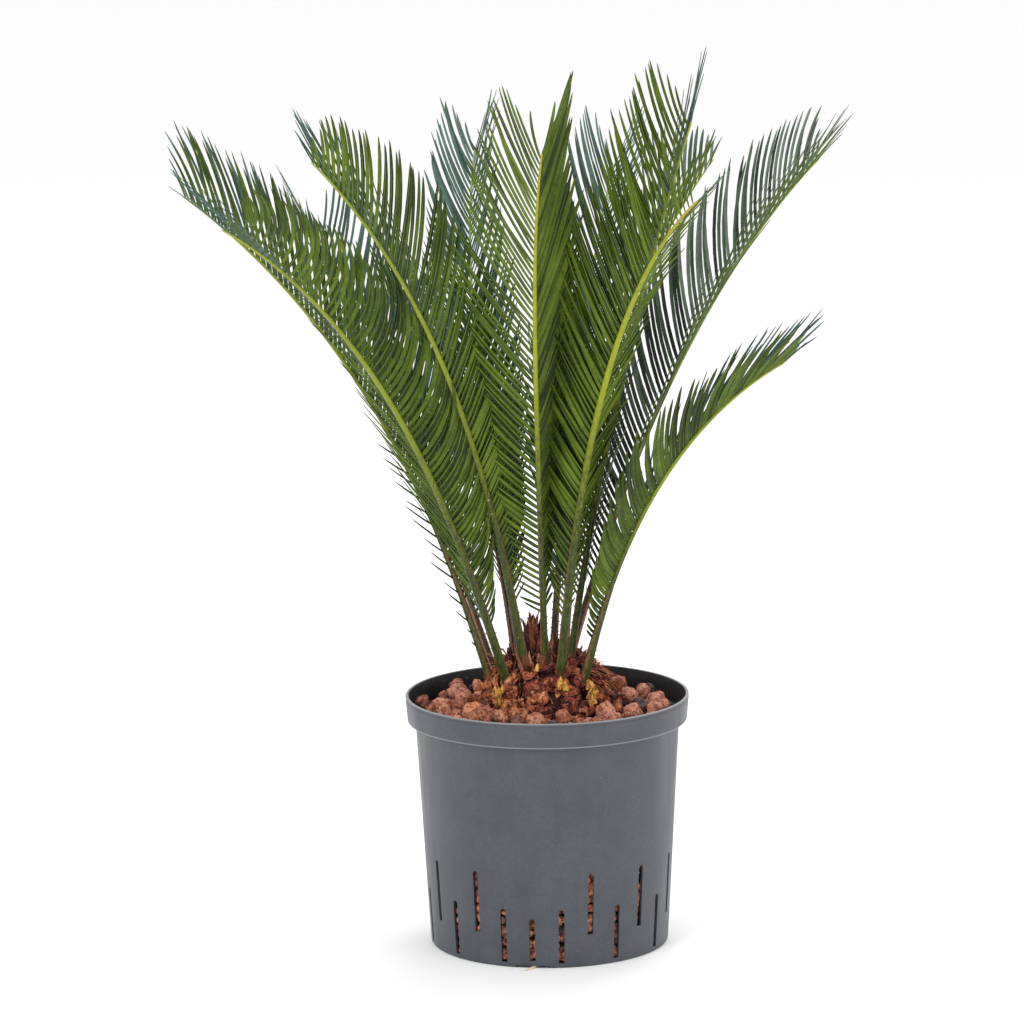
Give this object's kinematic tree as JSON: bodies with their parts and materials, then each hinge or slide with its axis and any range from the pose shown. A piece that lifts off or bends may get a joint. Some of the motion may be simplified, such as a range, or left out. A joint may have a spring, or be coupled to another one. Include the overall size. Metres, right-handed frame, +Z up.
{
  "type": "sago palm in a culture pot",
  "caption": "Young sago palm: short scaly trunk with a rosette of arching feathery fronds, standing in a grey plastic pot of clay granules.",
  "frame": {"origin": "centre of the pot's flat underside", "axes": "+Z up along the pot's axis, -Y towards the front of the picture, +X to its right"},
  "size_m": [0.5456, 0.635, 0.7177],
  "materials": {
    "pot_plastic": "satin blue-grey moulded plastic",
    "fired_clay": "rough red-brown fired clay",
    "bark": "rough scaly bark of old leaf bases",
    "dry_scales": "dry brown scale leaves",
    "leaf": "leathery green leaf, half glossy"
  },
  "bodies": {
    "root": {"pot": "pot_plastic", "clay_granules": "fired_clay", "caudex": "bark", "crown_tuft": "dry_scales", "frond_left_outer": "leaf", "frond_left_front": "leaf", "frond_front_left": "leaf", "frond_front": "leaf", "frond_front_right": "leaf", "frond_front_right_inner": "leaf", "frond_right_low": "leaf", "frond_right_inner": "leaf", "frond_right_back": "leaf", "frond_back_right": "leaf", "frond_back": "leaf", "frond_back_left": "leaf", "frond_back_left_inner": "leaf"}
  },
  "joints": []
}
